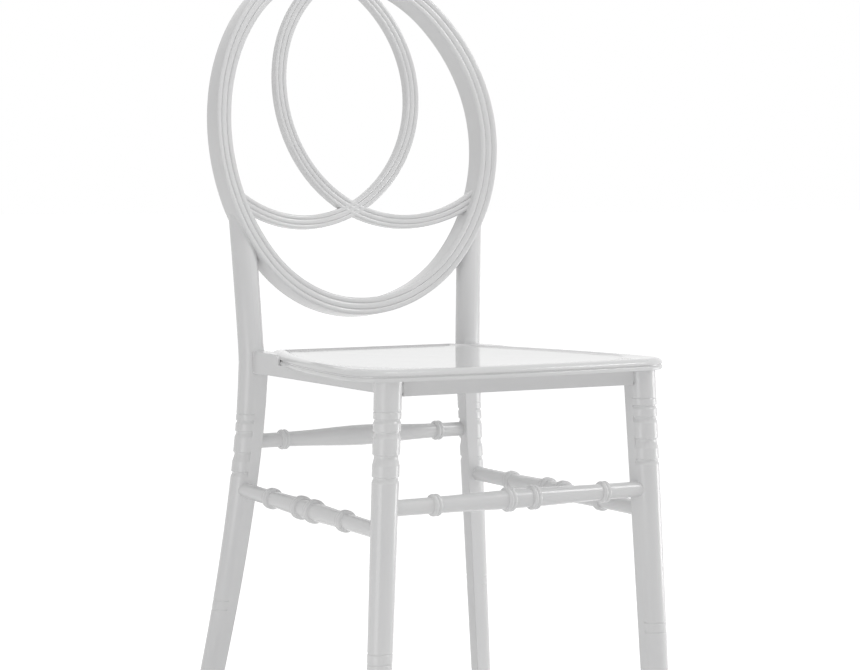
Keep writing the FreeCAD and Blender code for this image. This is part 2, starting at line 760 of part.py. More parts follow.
def corner_block(start, inward, inner_y):
    inward_y = 1 if inward.y > 0 else -1
    low = UNDERSIDE - size("block_depth")
    points = block_plan(inward_y, inner_y, low)
    plan = Part.Face(Part.makePolygon(points + [points[0]]))
    block = plan.extrude(Vector(0, 0, size("block_depth") - GAP))
    block = block.cut(bolt_hole(start, inward))
    for place in seat_screw_places():
        foot = Vector(place.x, place.y, low - 1)
        block = block.cut(Part.makeCylinder(size("screw_diameter") / 2 + GAP, size("block_depth") + 2, foot))
        head = Part.makeCylinder(size("screw_head_diameter") / 2 + GAP, size("screw_head_height") + GAP,
                                 Vector(place.x, place.y, low))
        block = block.cut(head)
    return block


front_block = corner_block(front_corner, front_inward, front_rail_y + half_rail)
rear_block = corner_block(rear_corner, rear_inward, rear_rail_y - half_rail)
feature("corner_block_front_right", front_block)
feature("corner_block_front_left", flipped(front_block))
feature("corner_block_rear_right", rear_block)
feature("corner_block_rear_left", flipped(rear_block))


# Profiles drawn as sketches whose every corner is bound to the sheet
def profile_sketch(body, corners):
    """Closed outline on the body's upright plane. A corner is a pair of expressions."""
    draft = body.newObject("Sketcher::SketchObject", body.Name + "_profile")
    plane = [p for p in body.Origin.OriginFeatures if p.Role == "XZ_Plane"][0]
    draft.AttachmentSupport = (plane, [""])
    draft.MapMode = "FlatFace"
    places = []
    for across, up in corners:
        places.append(Vector(evaluate(across), evaluate(up), 0))
    count = len(places)
    for i in range(count):
        draft.addGeometry(Part.LineSegment(places[i], places[(i + 1) % count]), False)
    for i in range(count):
        draft.addConstraint(Sketcher.Constraint("Coincident", i, 2, (i + 1) % count, 1))
    for i, (across, up) in enumerate(corners):
        for kind, text, axis in (("DistanceX", across, -2), ("DistanceY", up, -1)):
            if text == "0":
                draft.addConstraint(Sketcher.Constraint("PointOnObject", i, 1, axis))
            else:
                index = draft.addConstraint(Sketcher.Constraint(kind, -1, 1, i, 1, evaluate(text)))
                draft.setExpression("Constraints[%d]" % index, text)
    return draft


def evaluate(text):
    """Value of an expression on the sheet's sizes, used as the sketch's first guess."""
    return float(sheet.evalExpression(text))


def turned(label, corners, placement):
    """A piece turned about its own Z axis from a profile that starts and ends on it."""
    body = doc.addObject("PartDesign::Body", label)
    draft = profile_sketch(body, corners)
    turn = body.newObject("PartDesign::Revolution", label + "_turn")
    turn.Profile = draft
    turn.ReferenceAxis = (draft, ["V_Axis"])
    turn.Angle = 360
    body.Tip = turn
    body.Placement = placement
    return body


def named(text):
    """Turn the size names in a formula into references to the sheet."""
    for name in sorted([n for n, _ in sizes], key=len, reverse=True):
        text = text.replace("{" + name + "}", "Sizes." + name)
    return text


# Where a rung starts and ends varies with the legs, so its length is written to the sheet
def rung(label, ends, ring_place, middle, last_row):
    length = (ends[1] - ends[0]).Length
    alias = label + "_length"
    sheet.set("A%d" % last_row, alias)
    sheet.set("B%d" % last_row, str(round(length, 4)))
    sheet.setAlias("B%d" % last_row, alias)
    doc.recompute()
    half = "Sizes.%s / 2" % alias
    place = named(ring_place)
    wide = named("{rung_ring_width}")
    ring = named("{rung_ring_radius}")
    edge = "%s + %s / 2" % (place, wide)
    inner = "%s - %s / 2" % (place, wide)
    outside = [
        (named("{rung_end_radius}"), half),
        (named("{rung_end_radius}"), edge),
        (ring, "%s - %s / 4" % (edge, wide)),
        (ring, "%s + %s / 4" % (inner, wide)),
        (named("{rung_neck_radius}"), inner),
    ]
    for radius, level in middle:
        outside.append((named(radius), named(level)))
    corners = [("0", half)] + outside
    for radius, level in reversed(outside):
        corners.append((radius, "-(%s)" % level))
    corners.append(("0", "-(%s)" % half))
    centre = (ends[0] + ends[1]) * 0.5
    return keep(turned(label, corners, pose(centre, ends[1] - ends[0])), label)


pair_middle = [
    ("{rung_swell_radius}", "{rung_pair_place} + {rung_ring_width}"),
    ("{rung_pair_radius}", "{rung_pair_place} + {rung_ring_width} / 2"),
    ("{rung_pair_radius}", "{rung_pair_place} - {rung_ring_width} / 4"),
    ("{rung_waist_radius}", "{rung_pair_place} - {rung_ring_width}"),
]
swell_middle = [
    ("{rear_rung_swell}", "{rung_ring_place} / 3"),
]
next_row = len(sizes) + 2
rung("front_rung", front_rung_ends, "{rung_ring_place}", pair_middle, next_row)
rung("side_rung_right", side_rung_ends, "{side_ring_place}", pair_middle, next_row + 1)
rung("side_rung_left", left_rung_ends, "{side_ring_place}", pair_middle, next_row + 2)
rung("rear_rung", rear_rung_ends, "{rung_ring_place}", swell_middle, next_row + 3)


# Foot glides: one under each leg
def glide(label, centre):
    corners = [
        ("0", "0"),
        (named("{glide_radius} - {glide_height} / 4"), "0"),
        (named("{glide_radius}"), named("{glide_height} / 4")),
        (named("{glide_radius}"), named("{glide_height}")),
        (named("{glide_stem_radius}"), named("{glide_height}")),
        (named("{glide_stem_radius}"), named("{glide_height} + {glide_stem_length}")),
        ("0", named("{glide_height} + {glide_stem_length}")),
    ]
    return keep(turned(label, corners, Placement(centre, Rotation())), label)


def at_floor(centre):
    return Vector(centre.x, centre.y, 0)


floor = size("glide_height")
glide("foot_glide_front_left", at_floor(mirrored(front_axis(floor))))
glide("foot_glide_front_right", at_floor(front_axis(floor)))
glide("foot_glide_rear_left", at_floor(mirrored(rear_axis(floor))))
glide("foot_glide_rear_right", at_floor(rear_axis(floor)))


# One pattern piece of each fastener, then a group of copies in their places
screw_corners = [
    ("0", "0"),
    (named("{screw_head_diameter} / 2"), "0"),
    (named("{screw_head_diameter} / 2"), named("{screw_head_height}")),
    (named("{screw_diameter} / 2"), named("{screw_head_height}")),
    (named("{screw_diameter} / 2"), named("{screw_length} - {screw_diameter}")),
    ("0", named("{screw_length}")),
]
bolt_corners = [
    ("0", "0"),
    (named("{bolt_diameter} / 2"), "0"),
    (named("{bolt_diameter} / 2"), named("{bolt_length}")),
    ("0", named("{bolt_length}")),
]
screw_pattern = turned("screw_pattern", screw_corners, Placement())
bolt_pattern = turned("bolt_pattern", bolt_corners, Placement())
doc.recompute()


def copies(label, pattern, places):
    solids = []
    for place in places:
        solid = pattern.Shape.copy()
        solid.Placement = place
        solids.append(solid)
    return group(label, solids)


screw_places = []
for spot in seat_screw_places():
    screw_places.append(Placement(Vector(spot.x, spot.y, UNDERSIDE - size("block_depth")), Rotation()))
copies("seat_screws", screw_pattern, screw_places)


def block_face(start, inward, inner_y):
    """How far along a corner bolt the block's slanted inner face is."""
    inward_y = 1 if inward.y > 0 else -1
    plan = block_plan(inward_y, inner_y, bolt_level)
    edge = plan[2] - plan[1]
    normal = Vector(edge.y, -edge.x, 0)
    return (plan[1] - start).dot(normal) / inward.dot(normal)


washer = Part.makeCylinder(size("washer_diameter") / 2, size("washer_thickness"))
washer = washer.cut(Part.makeCylinder(size("bolt_diameter") / 2 + GAP, size("washer_thickness")))
nut_points = []
for i in range(7):
    turn = math.radians(60 * i)
    nut_radius = size("nut_across_flats") / math.sqrt(3)
    nut_points.append(Vector(nut_radius * math.cos(turn), nut_radius * math.sin(turn), 0))
nut = Part.Face(Part.makePolygon(nut_points)).extrude(Vector(0, 0, size("nut_height")))
nut = nut.cut(Part.makeCylinder(size("bolt_diameter") / 2 + GAP, size("nut_height")))

bolt_places = []
washer_solids = []
nut_solids = []
for start, inward, inner_y in ((front_corner, front_inward, front_rail_y + half_rail),
                               (rear_corner, rear_inward, rear_rail_y - half_rail)):
    first, last = bolt_line(start, inward)
    seat = start + inward * (block_face(start, inward, inner_y) + GAP)
    nut_seat = seat + inward * (size("washer_thickness") + GAP)
    bolt_places.append(pose(first, inward))
    bolt_places.append(pose(mirrored(first), mirrored(inward)))
    for solids, piece, spot in ((washer_solids, washer, seat), (nut_solids, nut, nut_seat)):
        right = piece.copy()
        right.Placement = pose(spot, inward)
        solids.append(right)
        left = piece.copy()
        left.Placement = pose(mirrored(spot), mirrored(inward))
        solids.append(left)
copies("corner_bolts", bolt_pattern, bolt_places)
group("corner_washers", washer_solids)
group("corner_nuts", nut_solids)

doc.recompute()
for obj in doc.Objects:
    if "Invalid" in obj.State or "Error" in obj.State:
        raise RuntimeError("%s did not rebuild" % obj.Label)
for obj in nodes:
    if obj.Shape.isNull() or not obj.Shape.isValid():
        raise RuntimeError("%s has no valid shape" % obj.Label)

os.makedirs("parts", exist_ok=True)
for obj in nodes:
    obj.Shape.exportStep(os.path.join("parts", obj.Label + ".step"))
    box_of = obj.Shape.BoundBox
    print("%-26s %d solid(s) %10.0f mm3  x %.1f %.1f  y %.1f %.1f  z %.1f %.1f" % (
        obj.Label, len(obj.Shape.Solids), obj.Shape.Volume, box_of.XMin, box_of.XMax, box_of.YMin,
        box_of.YMax, box_of.ZMin, box_of.ZMax))
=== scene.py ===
import math

import bmesh
import bpy
import numpy as np
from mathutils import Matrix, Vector


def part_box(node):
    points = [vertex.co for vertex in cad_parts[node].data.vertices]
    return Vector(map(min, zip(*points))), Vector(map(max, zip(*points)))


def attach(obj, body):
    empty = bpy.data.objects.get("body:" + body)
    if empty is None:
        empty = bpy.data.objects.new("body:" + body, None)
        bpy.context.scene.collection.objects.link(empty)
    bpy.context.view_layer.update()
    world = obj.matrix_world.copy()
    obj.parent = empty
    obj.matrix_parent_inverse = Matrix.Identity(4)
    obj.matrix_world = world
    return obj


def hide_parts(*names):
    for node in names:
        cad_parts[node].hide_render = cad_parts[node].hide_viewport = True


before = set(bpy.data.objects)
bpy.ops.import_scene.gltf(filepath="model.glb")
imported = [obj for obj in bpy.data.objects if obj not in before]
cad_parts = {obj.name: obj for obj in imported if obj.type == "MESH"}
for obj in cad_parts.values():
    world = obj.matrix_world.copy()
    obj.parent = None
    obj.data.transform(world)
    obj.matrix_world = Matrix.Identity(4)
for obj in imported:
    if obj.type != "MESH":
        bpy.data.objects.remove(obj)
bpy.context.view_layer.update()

# The view: a long lens at seat height, from the front and the sitter's right, as for a
# catalogue picture. The chair stands on a white floor and fills the frame from its ring's
# top, which is cut off, to just above its feet.
CAMERA_PLACE = Vector((-1.3523, -2.2775, 0.6267))
CAMERA_LOOK = Vector((0.5120, 0.8569, -0.0588))
CAMERA_LENS = 95.89

camera_data = bpy.data.cameras.new("camera")
camera_data.sensor_fit = "HORIZONTAL"
camera_data.sensor_width = 36.0
camera_data.lens = CAMERA_LENS
camera_data.clip_end = 300.0
camera = bpy.data.objects.new("camera", camera_data)
camera.location = CAMERA_PLACE
camera.rotation_euler = CAMERA_LOOK.to_track_quat("-Z", "Y").to_euler()
bpy.context.scene.collection.objects.link(camera)
bpy.context.scene.camera = camera
bpy.context.scene.view_settings.view_transform = "Standard"


# The rear legs: each is one moulding of glossy white resin, a curved leg below the seat and a
# round post above it. Outside it is round with turned coves; towards the middle of the chair
# it has a square corner, where the rails are let in. The post's top is coped to the ring.
PLATE_UNDERSIDE = 0.4375
RESIN_COLOUR = (0.80, 0.80, 0.80)
SHARP_EDGE = math.radians(40)


def resin_material(name, colour, roughness, grain):
    """Glossy moulded resin: an even white with faint clouds where the melt flowed, roughness
    that wanders a little from handling, and a shallow ripple in the surface."""
    material = bpy.data.materials.new(name)
    material.use_nodes = True
    nodes = material.node_tree.nodes
    links = material.node_tree.links
    shader = nodes["Principled BSDF"]
    shader.inputs["IOR"].default_value = 1.49
    place = nodes.new("ShaderNodeTexCoord")

    clouds = nodes.new("ShaderNodeTexNoise")
    clouds.inputs["Scale"].default_value = 9.0
    clouds.inputs["Detail"].default_value = 3.0
    links.new(place.outputs["Object"], clouds.inputs["Vector"])
    tint = nodes.new("ShaderNodeValToRGB")
    tint.color_ramp.elements[0].position = 0.3
    tint.color_ramp.elements[0].color = (colour[0] * 0.97, colour[1] * 0.97, colour[2] * 0.975, 1)
    tint.color_ramp.elements[1].position = 0.7
    tint.color_ramp.elements[1].color = (colour[0], colour[1], colour[2], 1)
    links.new(clouds.outputs["Fac"], tint.inputs["Fac"])
    links.new(tint.outputs["Color"], shader.inputs["Base Color"])

    handling = nodes.new("ShaderNodeTexNoise")
    handling.inputs["Scale"].default_value = 22.0
    handling.inputs["Detail"].default_value = 5.0
    links.new(place.outputs["Object"], handling.inputs["Vector"])
    wander = nodes.new("ShaderNodeMapRange")
    wander.inputs["To Min"].default_value = roughness * 0.85
    wander.inputs["To Max"].default_value = roughness * 1.2
    links.new(handling.outputs["Fac"], wander.inputs["Value"])
    links.new(wander.outputs["Result"], shader.inputs["Roughness"])

    ripple = nodes.new("ShaderNodeTexNoise")
    ripple.inputs["Scale"].default_value = 60.0
    ripple.inputs["Detail"].default_value = 2.0
    links.new(place.outputs["Object"], ripple.inputs["Vector"])
    bump = nodes.new("ShaderNodeBump")
    bump.inputs["Strength"].default_value = grain
    bump.inputs["Distance"].default_value = 0.0005
    links.new(ripple.outputs["Fac"], bump.inputs["Height"])
    links.new(bump.outputs["Normal"], shader.inputs["Normal"])
    return material


frame_resin = resin_material("frame_resin", RESIN_COLOUR, 0.15, 0.06)


def surface(name, grid, wrap_along, cap_ends, material, node):
    """Closed skin through a grid of points. Its first index runs along the piece and its
    second round it, which always closes on itself. Square faces join neighbours; an open end
    is closed by a fan to the mean of its last ring."""
    along, around = grid.shape[0], grid.shape[1]
    rows = along if wrap_along else along - 1
    first = np.arange(rows)[:, None]
    second = (first + 1) % along
    here = np.arange(around)[None, :]
    beside = (here + 1) % around
    corners = [first * around + here, second * around + here, second * around + beside,
               first * around + beside]
    faces = np.stack(corners, axis=-1).reshape(-1, 4).tolist()
    points = grid.reshape(-1, 3)
    if cap_ends:
        middles = np.stack([grid[0].mean(axis=0), grid[-1].mean(axis=0)])
        start_hub = len(points)
        points = np.concatenate([points, middles])
        ring = np.arange(around)
        after = (ring + 1) % around
        last = (along - 1) * around
        starts = np.stack([np.full(around, start_hub), after, ring], axis=-1)
        ends = np.stack([np.full(around, start_hub + 1), last + ring, last + after], axis=-1)
        faces += starts.tolist() + ends.tolist()
    mesh = bpy.data.meshes.new(name)
    mesh.from_pydata(points, [], faces)
    shell = bmesh.new()
    shell.from_mesh(mesh)
    bmesh.ops.recalc_face_normals(shell, faces=shell.faces)
    shell.to_mesh(mesh)
    shell.free()
    mesh.shade_smooth()
    mesh.set_sharp_from_angle(angle=SHARP_EDGE)
    piece = bpy.data.objects.new(name, mesh)
    bpy.context.scene.collection.objects.link(piece)
    mesh.materials.append(material)
    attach(piece, "root")
    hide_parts(node)
    return piece


LEG_CORNER_ROUND = 0.08
COVE_DROPS = (0.0, 0.0082, 0.021, 0.0456, 0.0688)
COVE_TALLS = (0.0016, 0.0046, 0.0072, 0.0114, 0.0062)
COVE_DEPTHS = (0.0007, 0.0014, 0.0016, 0.0018, 0.0015)
LINE_TOPS = (0.1535, 0.1425)
LINE_TALL = 0.0022
LINE_DEPTH = 0.0008
COVE_MARGIN = 0.0002
RING_SPACING = 0.008


def leg_profile(steps=40):
    """Section of a leg of radius one: three quarters of a circle, then two flat faces and the
    square corner between them. The corner points to +X +Y. Returns the section's points, the
    plain circle's points beside them, and how much of a cove's depth each point takes."""
    arc = np.linspace(math.radians(90), math.radians(360), steps)
    round_part = np.stack([np.cos(arc), np.sin(arc)], axis=-1)
    flat = np.linspace(0.0, 1 - LEG_CORNER_ROUND, 8)
    turn = np.linspace(0.0, math.radians(90), 8)[1:-1]
    first_flat = np.stack([np.ones(8), flat], axis=-1)
    corner = 1 - LEG_CORNER_ROUND + LEG_CORNER_ROUND * np.stack([np.cos(turn), np.sin(turn)], axis=-1)
    second_flat = np.stack([flat[::-1], np.ones(8)], axis=-1)
    square = np.concatenate([first_flat, corner, second_flat])
    turns = np.arctan2(square[:, 1], square[:, 0])
    circle = np.stack([np.cos(turns), np.sin(turns)], axis=-1)
    section = np.concatenate([round_part, square])
    plain = np.concatenate([round_part, circle])
    coved = np.concatenate([np.ones(steps), np.zeros(len(square))])
    return section, plain, coved


def cove_depths(heights, coves):
    """Depth of the turned coves at each height. A cove is cut steeply at its top and rises in a
    long slope to its foot: depth times the sine of half a turn times the root of the share of
    its height that lies above."""
    depths = np.zeros_like(heights)
    for top, tall, depth in coves:
        share = np.clip((top - heights) / tall, 0, 1)
        depths = np.maximum(depths, depth * np.sin(math.pi * np.sqrt(share)))
    return depths


def leg_heights(low, high, coves):
    """Heights for a leg's rings: even ones all along, and close ones through each cove."""
    levels = [np.arange(low, high, RING_SPACING), np.array([high])]
    for top, tall, _ in coves:
        turn = np.linspace(0, math.pi, 13)
        levels.append(top - tall / 2 + np.cos(turn) * tall / 2)
        levels.append(np.array([top + COVE_MARGIN, top - tall - COVE_MARGIN]))
    heights = np.unique(np.round(np.concatenate(levels), 6))
    return heights[(heights >= low) & (heights <= high)]


def leg_coves(first_top):
    """Tops, heights and depths of a leg's coves, from the five below the seat rail to the two
    fine lines near the floor."""
    bands = zip(COVE_DROPS, COVE_TALLS, COVE_DEPTHS)
    coves = [(first_top - drop, tall, depth) for drop, tall, depth in bands]
    coves += [(top, LINE_TALL, LINE_DEPTH) for top in LINE_TOPS]
    return coves


GLIDE_HEIGHT = 0.0035
REAR_COVES_TOP = 0.376
SQUARE_TOP = 0.452
SQUARE_BLEND = 0.012
COPE_START = 0.54
POST_SPACING = 0.2996
POST_RADIUS = 0.0152
REAR_Y = 0.14575
REAR_SPLAY = (0.0225, 0.0024)
SABRE = (0.0273, 0.0420)
SABRE_START = 0.400
SABRE_POWER = 1.6
POST_BEND = (0.0070, 0.0080)
POST_BEND_HEIGHT = 0.152
POST_BEND_POWER = 1.15
REAR_RADIUS = (0.0121, 0.0152)


def rear_axis(z):
    """Centre line of the right rear leg: it splays evenly from the seat down, with a bend that
    grows with a power of the distance below its start, and above the seat it bends outwards
    and back with a power of the height."""
    fall = np.clip((PLATE_UNDERSIDE - z) / PLATE_UNDERSIDE, 0, None)
    bend = np.clip((SABRE_START - z) / SABRE_START, 0, None) ** SABRE_POWER
    lean = np.clip((z - PLATE_UNDERSIDE) / POST_BEND_HEIGHT, 0, None) ** POST_BEND_POWER
    x = POST_SPACING / 2 + REAR_SPLAY[0] * fall + SABRE[0] * bend + POST_BEND[0] * lean
    y = REAR_Y + REAR_SPLAY[1] * fall + SABRE[1] * bend + POST_BEND[1] * lean
    return x, y


# The back is one sheet that leans back and curves round the sitter. These sizes belong to the
# ring and stand here because each post's top is cut to the ring's outside.
BACK_RAKE = math.radians(8.3)
BACK_CURVE = 0.771
RING_HALF_WIDTH = 0.1923
RING_HALF_HEIGHT = 0.218
RING_END_RADIUS = 0.1775
RING_DEPTH = 0.0305
RING_BAND = 0.0208
ring_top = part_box("back_ring")[1]
BACK_Z = ring_top[2] - RING_HALF_HEIGHT * math.cos(BACK_RAKE) - RING_DEPTH / 2 * math.sin(BACK_RAKE)
BACK_Y = ring_top[1] - RING_HALF_HEIGHT * math.sin(BACK_RAKE) - RING_DEPTH / 2 * math.cos(BACK_RAKE)
END_CENTRE = RING_HALF_HEIGHT - RING_END_RADIUS
SIDE_RADIUS = (END_CENTRE ** 2 + RING_HALF_WIDTH ** 2 - RING_END_RADIUS ** 2) / (
    2 * (RING_HALF_WIDTH - RING_END_RADIUS))
SIDE_CENTRE = SIDE_RADIUS - RING_HALF_WIDTH


def in_back(across, depth, up):
    """Point of the chair at a distance across the back's sheet, behind it and up it. The sheet
    is a cylinder about an axis in front of the chair, leant back by the rake."""
    behind = np.sqrt(BACK_CURVE ** 2 - across ** 2) - BACK_CURVE + depth
    y = BACK_Y + behind * math.cos(BACK_RAKE) + up * math.sin(BACK_RAKE)
    z = BACK_Z - behind * math.sin(BACK_RAKE) + up * math.cos(BACK_RAKE)
    return np.stack(np.broadcast_arrays(across, y, z), axis=-1)


def outside_ring(x, y, z):
    """How far a point of the chair lies outside the ring's oval, seen square to the back: its
    distance from the centre of the arc that its side belongs to, less that arc's radius."""
    up = (z - BACK_Z) * math.cos(BACK_RAKE) + (y - BACK_Y) * math.sin(BACK_RAKE)
    side = np.hypot(np.abs(x) + SIDE_CENTRE, up) - SIDE_RADIUS
    end = np.hypot(x, np.abs(up) - END_CENTRE) - RING_END_RADIUS
    on_end = np.arctan2(np.abs(up), np.abs(x) + SIDE_CENTRE) > math.atan2(END_CENTRE, SIDE_CENTRE)
    return np.where(on_end, end, side)


def rear_leg(side, node):
    """Leg and post: the section times a radius that narrows evenly to the foot, along the bent
    axis. Its square corner fades into the circle above the seat, and each line of the post
    runs up to where it meets the ring's outside."""
    coves = leg_coves(REAR_COVES_TOP)
    section, plain, coved = leg_profile()
    heights = leg_heights(GLIDE_HEIGHT, COPE_START, coves)
    x, y = rear_axis(heights)
    radius = REAR_RADIUS[0] + (REAR_RADIUS[1] - REAR_RADIUS[0]) * np.clip(heights / PLATE_UNDERSIDE, 0, 1)
    square = np.clip((SQUARE_TOP - heights) / SQUARE_BLEND, 0, 1)
    square = square * square * (3 - 2 * square)
    outline = plain[None] + (section - plain)[None] * square[:, None, None]
    reach = radius[:, None] - cove_depths(heights, coves)[:, None] * coved[None]
    lower = np.stack([
        x[:, None] - outline[:, :, 0] * reach,
        y[:, None] - outline[:, :, 1] * reach,
        np.broadcast_to(heights[:, None], reach.shape)], axis=-1)
    # where a line meets the ring is found by halving the stretch that holds it
    low = np.full(len(plain), COPE_START)
    high = np.full(len(plain), BACK_Z)
    for _ in range(30):
        middle = (low + high) / 2
        x, y = rear_axis(middle)
        out = outside_ring(x - plain[:, 0] * POST_RADIUS, y - plain[:, 1] * POST_RADIUS, middle)
        low = np.where(out > 0, middle, low)
        high = np.where(out > 0, high, middle)
    share = np.linspace(0, 1, 10)[1:, None]
    tops = COPE_START + (low[None] - COPE_START) * share
    x, y = rear_axis(tops)
    upper = np.stack([x - plain[None, :, 0] * POST_RADIUS, y - plain[None, :, 1] * POST_RADIUS, tops],
                     axis=-1)
    grid = np.concatenate([lower, upper])
    grid[:, :, 0] *= side
    return surface(node + "_skin", grid, False, True, frame_resin, node)


rear_leg(-1, "rear_leg_left")
rear_leg(1, "rear_leg_right")


# The back ring: an oval hoop of the same resin, moulded with three half-round beads round its
# front. It stands a little ahead of the posts and is pegged and glued to them.
BEAD_EDGES = (0.0, 0.0066, 0.0142, 0.0208)
BEAD_RISE = 0.0020
REAR_ROUND = 0.0015


def beaded_face(edges, rise, front, per_bead=13):
    """Front of a strap: side by side beads, each half an ellipse across its own width."""
    across = []
    depth = []
    turn = np.linspace(0, math.pi, per_bead)
    for left, right in zip(edges[:-1], edges[1:]):
        across.append((left + right) / 2 - np.cos(turn) * (right - left) / 2)
        depth.append(front + rise * (1 - np.sin(turn)))
    return np.concatenate(across), np.concatenate(depth)


def rounded_rear(width, rear, radius, steps=7):
    """Back of a strap from its last side to its first: flat, with two round corners."""
    turn = np.linspace(0, math.pi / 2, steps)
    first = np.stack([width - radius + radius * np.cos(turn), rear - radius + radius * np.sin(turn)])
    second = np.stack([radius - radius * np.sin(turn), rear - radius + radius * np.cos(turn)])
    return np.concatenate([first, second], axis=1)


def back_ring():
    """Oval hoop: a point's direction from its arc's centre fixes which of the four arcs it is
    on, and its inset from the outside is taken off that arc's radius."""
    turn = np.linspace(0, 2 * math.pi, 480, endpoint=False)
    junction = math.atan2(END_CENTRE, SIDE_CENTRE)
    side_on = np.abs(np.sin(turn)) < math.sin(junction)
    centre_x = np.where(side_on, -np.sign(np.cos(turn)) * SIDE_CENTRE, 0.0)
    centre_up = np.where(side_on, 0.0, np.sign(np.sin(turn)) * END_CENTRE)
    radius = np.where(side_on, SIDE_RADIUS, RING_END_RADIUS)
    front_across, front_depth = beaded_face(BEAD_EDGES, BEAD_RISE, -RING_DEPTH / 2)
    rear = rounded_rear(RING_BAND, RING_DEPTH / 2, REAR_ROUND)
    inset = np.concatenate([front_across, rear[0]])
    depth = np.concatenate([front_depth, rear[1]])
    reach = radius[:, None] - inset[None]
    across = centre_x[:, None] + reach * np.cos(turn)[:, None]
    up = centre_up[:, None] + reach * np.sin(turn)[:, None]
    grid = in_back(across, depth[None], up)
    return surface("back_ring_skin", grid, True, False, frame_resin, "back_ring")


back_ring()


# The two inner curves: each is a strap of the same resin bent to an arc of a circle, with three
# small beads on its front. They spring from the ring's top, cross low in the middle, where they
# are halved flush into each other, and end on the ring's sides.
CURVE_RADIUS = 0.1625
CURVE_OFFSET = 0.0715
CURVE_RISE = 0.0585
CURVE_WIDTH = 0.0165
CURVE_DEPTH = 0.013
CURVE_BEADS = (0.0, 0.0052, 0.0113, 0.0165)
CURVE_BEAD_RISE = 0.0018
CURVE_REAR_ROUND = 0.003
CURVE_START = math.radians(116)
CURVE_END = math.radians(309)


def back_loop(side, node):
    """Strap on a circle: angles run from inside the ring's top, over the bulge and through the
    crossing to inside the ring's side."""
    turn = np.linspace(CURVE_START, CURVE_END, 260)
    front_across, front_depth = beaded_face(CURVE_BEADS, CURVE_BEAD_RISE, -CURVE_DEPTH / 2)
    rear = rounded_rear(CURVE_WIDTH, CURVE_DEPTH / 2, CURVE_REAR_ROUND)
    inset = np.concatenate([front_across, rear[0]]) - CURVE_WIDTH / 2
    depth = np.concatenate([front_depth, rear[1]])
    reach = CURVE_RADIUS - inset[None]
    across = side * (CURVE_OFFSET + reach * np.cos(turn)[:, None])
    up = CURVE_RISE + reach * np.sin(turn)[:, None]
    grid = in_back(across, depth[None], up)
    return surface(node + "_skin", grid, False, True, frame_resin, node)


back_loop(1, "back_loop_left")
back_loop(-1, "back_loop_right")


# The front legs: the same section and coves as the rear ones, straight and splayed, and stopped
# under the seat plate.
FRONT_SPACING = 0.3268
FRONT_Y = -0.20275
FRONT_SPLAY = (0.0220, -0.0106)
FRONT_RADIUS = (0.0128, 0.0151)
FRONT_COVES_TOP = 0.4066


def front_axis(z):
    """Centre line of the right front leg: straight, splayed evenly from the seat down."""
    fall = (PLATE_UNDERSIDE - z) / PLATE_UNDERSIDE
    return FRONT_SPACING / 2 + FRONT_SPLAY[0] * fall, FRONT_Y + FRONT_SPLAY[1] * fall


def front_leg(side, node):
    """Leg: the section times a radius that narrows evenly to the foot, along the axis."""
    coves = leg_coves(FRONT_COVES_TOP)
    section, _, coved = leg_profile()
    heights = leg_heights(GLIDE_HEIGHT, PLATE_UNDERSIDE, coves)
    fall = (PLATE_UNDERSIDE - heights) / PLATE_UNDERSIDE
    x, y = front_axis(heights)
    radius = FRONT_RADIUS[1] + (FRONT_RADIUS[0] - FRONT_RADIUS[1]) * fall
    reach = radius[:, None] - cove_depths(heights, coves)[:, None] * coved[None]
    grid = np.stack([
        side * (x[:, None] - section[None, :, 0] * reach),
        y[:, None] + section[None, :, 1] * reach,
        np.broadcast_to(heights[:, None], reach.shape)], axis=-1)
    return surface(node + "_skin", grid, False, True, frame_resin, node)


front_leg(-1, "front_leg_left")
front_leg(1, "front_leg_right")


# The four rails: plain bars of resin let into the legs under the seat plate. The side rails end
# in a lug that stands up beside the plate. The CAD shapes are right, so they keep them.
rail_resin = resin_material("rail_resin", (0.78, 0.78, 0.78), 0.34, 0.2)


def finish_node(node, material):
    """Give a carried-over piece its finish."""
    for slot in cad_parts[node].material_slots:
        slot.material = material


for rail in ("front_rail", "rear_rail", "side_rail_left", "side_rail_right"):
    finish_node(rail, frame_resin)


# The four rungs: turned bars of resin between the legs. Each is thickest at its middle, with a
# pair of rings there and one ring near each end; the rear one swells plainly. Their ends stand
# in round holes in the legs.
RUNG_RADIUS = 0.0087
RUNG_SWELL = 0.0018
RUNG_WAIST = 0.22
REAR_RUNG_SWELL = 0.0037
REAR_RUNG_WAIST = 0.20
RUNG_COLLAR = 0.0014
RUNG_BEAD_RISE = 0.0018
RUNG_BEAD_SET_OUT = 0.0022
RUNG_BEAD_HALF = 0.0024
RUNG_RING_REACH = 0.007
RUNG_PAIR_PLACE = 0.016
FRONT_RING_PLACE = 0.109
REAR_RING_PLACE = 0.107
SIDE_RING_PLACE = 0.092
FRONT_RUNG_Z = 0.3035
REAR_RUNG_Z = 0.3417
SIDE_RUNG_FRONT_Z = 0.2785
SIDE_RUNG_REAR_Z = 0.2855


